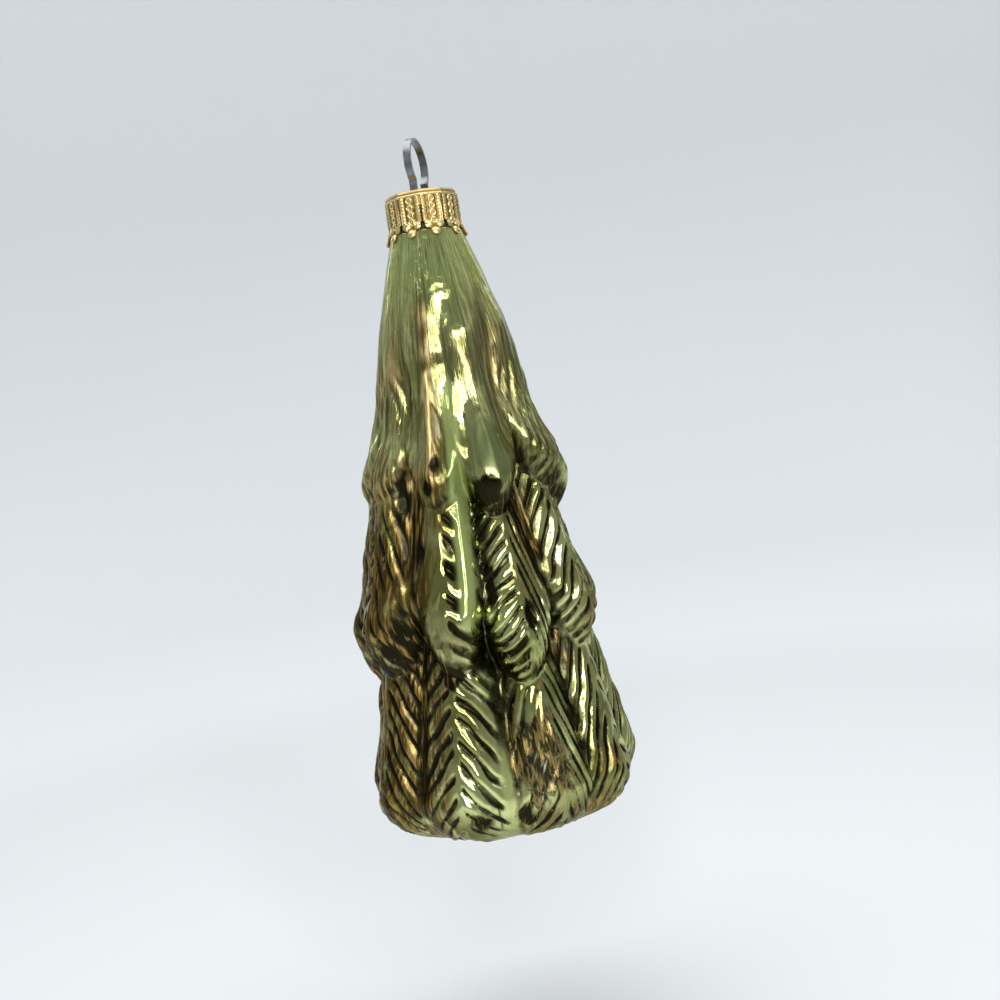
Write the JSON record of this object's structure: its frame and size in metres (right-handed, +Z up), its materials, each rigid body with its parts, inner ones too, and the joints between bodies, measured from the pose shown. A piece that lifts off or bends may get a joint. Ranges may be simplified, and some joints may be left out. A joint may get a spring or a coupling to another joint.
{
  "type": "glass tree ornament",
  "caption": "Slim blown-glass fir tree with tiers of drooping needle boughs, a stamped crown cap on its neck and a sprung strip hanger to hang it by.",
  "frame": {"origin": "centre of the hanging eye", "axes": "+Z up along the tree's axis, -Y towards the front that the picture shows, +X to the right of it; the eye's plane is turned 72 degrees about +Z from +X"},
  "size_m": [0.0333, 0.0335, 0.0852],
  "materials": {
    "silvered_glass": "silvered inside, clear green lacquer outside, dry-brushed gold and brown on the boughs",
    "gilt_cap": "stamped thin sheet, gilt, aged",
    "spring_steel": "plain drawn strip, dulled"
  },
  "bodies": {
    "hanger": {"hanger": "spring_steel"},
    "cap": {"crown_cap": "gilt_cap"},
    "tree": {"glass_tree": "silvered_glass"}
  },
  "joints": [
    {"name": "eye_swivel", "type": "hinge", "parent": "hanger", "child": "cap", "pos_m": [0, 0, -0.0037], "axis": [0, 0, 1], "continuous": true},
    {"name": "cap_pull", "type": "slide", "parent": "cap", "child": "tree", "axis": [0, 0, -1], "range_m": [0, 0.026], "deforming": ["hanger"]}
  ]
}
